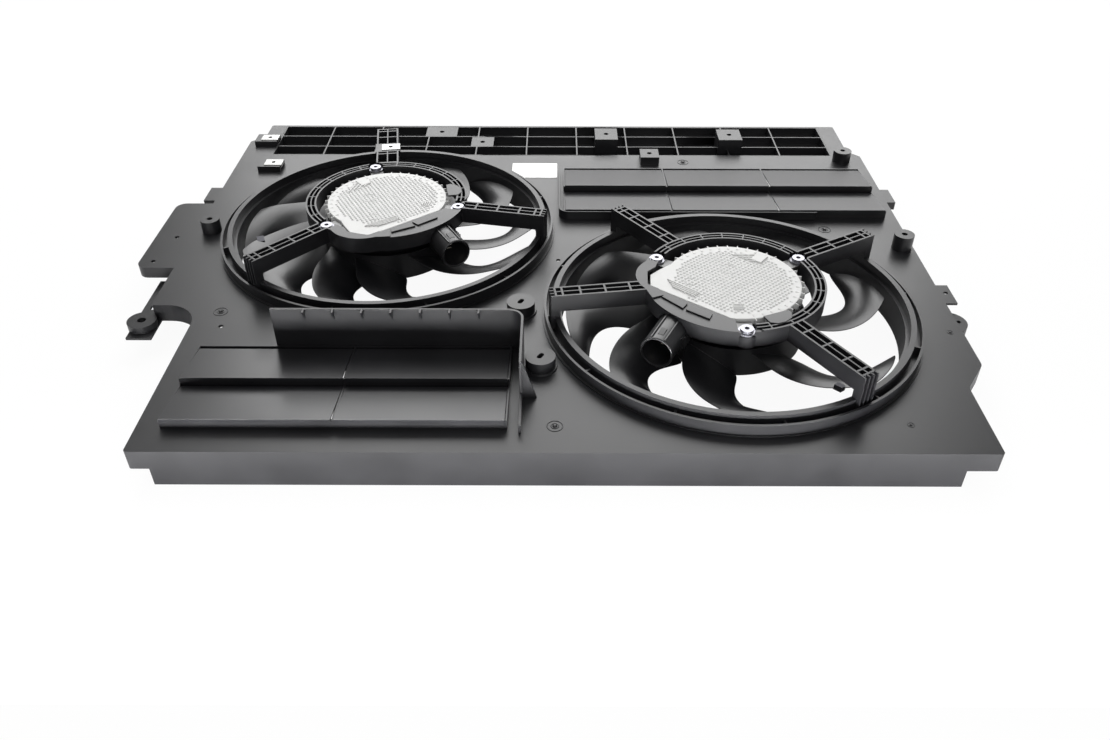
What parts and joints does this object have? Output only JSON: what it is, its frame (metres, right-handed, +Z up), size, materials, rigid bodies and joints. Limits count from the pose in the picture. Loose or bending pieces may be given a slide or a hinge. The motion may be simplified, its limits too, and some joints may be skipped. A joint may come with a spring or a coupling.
{
  "type": "radiator fan shroud",
  "caption": "Flat moulded radiator fan shroud with two ringed openings, brushless fan motors on ladder-arm carriers, and hinged ram-air flaps.",
  "frame": {"origin": "centre of the bounding box at its base, the plane that the skirts rest on", "axes": "+X along the longer side, towards the right end in the picture; +Y towards the rear edge; +Z up, the side where the motors are"},
  "size_m": [0.896, 0.687, 0.085],
  "materials": {
    "shroud_plastic": "satin moulded, finely grained",
    "flap_plastic": "satin moulded",
    "fan_plastic": "satin moulded",
    "connector_plastic": "satin moulded",
    "cover_metal": "fine cast",
    "cast_metal": "cast",
    "seal_rubber": "matt",
    "board": "solder-masked",
    "contact_metal": "tinned",
    "laminations": "stacked sheet",
    "copper": "enamelled wire",
    "bearing_steel": "ground",
    "zinc_steel": "zinc plated",
    "bell_steel": "drawn",
    "magnet": "sintered",
    "spring_steel": "zinc plated",
    "label": "smooth film"
  },
  "bodies": {
    "shroud": {"blank_label": "label", "clip_nuts": "spring_steel", "clip_pads": "shroud_plastic", "fastening_ear": "shroud_plastic", "front_skirt": "shroud_plastic", "grid_pads": "shroud_plastic", "left_bearings": "bearing_steel", "left_circuit_board": "board", "left_connector": "connector_plastic", "left_connector_pins": "contact_metal", "left_cover_seal": "seal_rubber", "left_electronics_cover": "cover_metal", "left_motor_base": "cast_metal", "left_motor_carrier": "shroud_plastic", "left_motor_screws": "zinc_steel", "left_ring": "shroud_plastic", "left_stator_core": "laminations", "left_stator_windings": "copper", "lower_vent_frame": "shroud_plastic", "plate_bosses": "shroud_plastic", "rear_rib_grid": "shroud_plastic", "rear_skirt": "shroud_plastic", "right_bearings": "bearing_steel", "right_circuit_board": "board", "right_connector": "connector_plastic", "right_connector_pins": "contact_metal", "right_cover_seal": "seal_rubber", "right_electronics_cover": "cover_metal", "right_motor_base": "cast_metal", "right_motor_carrier": "shroud_plastic", "right_motor_screws": "zinc_steel", "right_ring": "shroud_plastic", "right_stator_core": "laminations", "right_stator_windings": "copper", "shroud_panel": "shroud_plastic", "side_lugs": "shroud_plastic", "side_skirts": "shroud_plastic", "upper_vent_frame": "shroud_plastic", "upper_vent_rim": "shroud_plastic", "vent_shield": "shroud_plastic"},
    "left_rotor": {"left_fan_wheel": "fan_plastic", "left_rotor_bell": "bell_steel", "left_rotor_magnets": "magnet", "left_motor_shaft": "bearing_steel", "left_balance_clip": "spring_steel"},
    "right_rotor": {"right_fan_wheel": "fan_plastic", "right_rotor_bell": "bell_steel", "right_rotor_magnets": "magnet", "right_motor_shaft": "bearing_steel", "right_balance_clip": "spring_steel"},
    "lower_flap_rear_left": {"lower_flap_rear_left": "flap_plastic"},
    "lower_flap_rear_right": {"lower_flap_rear_right": "flap_plastic"},
    "lower_flap_front_left": {"lower_flap_front_left": "flap_plastic"},
    "lower_flap_front_right": {"lower_flap_front_right": "flap_plastic"},
    "upper_flap_rear_left": {"upper_flap_rear_left": "flap_plastic"},
    "upper_flap_rear_middle": {"upper_flap_rear_middle": "flap_plastic"},
    "upper_flap_rear_right": {"upper_flap_rear_right": "flap_plastic"},
    "upper_flap_front_left": {"upper_flap_front_left": "flap_plastic"},
    "upper_flap_front_middle": {"upper_flap_front_middle": "flap_plastic"},
    "upper_flap_front_right": {"upper_flap_front_right": "flap_plastic"}
  },
  "joints": [
    {"name": "left_fan_spin", "type": "hinge", "parent": "shroud", "child": "left_rotor", "pos_m": [-0.1765, 0.0425, 0.039], "axis": [0, 0, 1], "continuous": true},
    {"name": "right_fan_spin", "type": "hinge", "parent": "shroud", "child": "right_rotor", "pos_m": [0.198, -0.1305, 0.039], "axis": [0, 0, 1], "continuous": true},
    {"name": "lower_flap_rear_left_hinge", "type": "hinge", "parent": "shroud", "child": "lower_flap_rear_left", "pos_m": [-0.25385, -0.2003, 0.041], "axis": [-1, 0, 0], "range_deg": [0, 65]},
    {"name": "lower_flap_rear_right_hinge", "type": "hinge", "parent": "shroud", "child": "lower_flap_rear_right", "pos_m": [-0.10115, -0.2003, 0.041], "axis": [-1, 0, 0], "range_deg": [0, 65]},
    {"name": "lower_flap_front_left_hinge", "type": "hinge", "parent": "shroud", "child": "lower_flap_front_left", "pos_m": [-0.25385, -0.2587, 0.041], "axis": [-1, 0, 0], "range_deg": [0, 65]},
    {"name": "lower_flap_front_right_hinge", "type": "hinge", "parent": "shroud", "child": "lower_flap_front_right", "pos_m": [-0.10115, -0.2587, 0.041], "axis": [-1, 0, 0], "range_deg": [0, 65]},
    {"name": "upper_flap_rear_left_hinge", "type": "hinge", "parent": "shroud", "child": "upper_flap_rear_left", "pos_m": [0.09313, 0.1947, 0.041], "axis": [-1, 0, 0], "range_deg": [0, 65]},
    {"name": "upper_flap_rear_middle_hinge", "type": "hinge", "parent": "shroud", "child": "upper_flap_rear_middle", "pos_m": [0.2218, 0.1947, 0.041], "axis": [-1, 0, 0], "range_deg": [0, 65]},
    {"name": "upper_flap_rear_right_hinge", "type": "hinge", "parent": "shroud", "child": "upper_flap_rear_right", "pos_m": [0.35047, 0.1947, 0.041], "axis": [-1, 0, 0], "range_deg": [0, 65]},
    {"name": "upper_flap_front_left_hinge", "type": "hinge", "parent": "shroud", "child": "upper_flap_front_left", "pos_m": [0.09313, 0.1317, 0.041], "axis": [-1, 0, 0], "range_deg": [0, 65]},
    {"name": "upper_flap_front_middle_hinge", "type": "hinge", "parent": "shroud", "child": "upper_flap_front_middle", "pos_m": [0.2218, 0.1317, 0.041], "axis": [-1, 0, 0], "range_deg": [0, 65]},
    {"name": "upper_flap_front_right_hinge", "type": "hinge", "parent": "shroud", "child": "upper_flap_front_right", "pos_m": [0.35047, 0.1317, 0.041], "axis": [-1, 0, 0], "range_deg": [0, 65]}
  ]
}
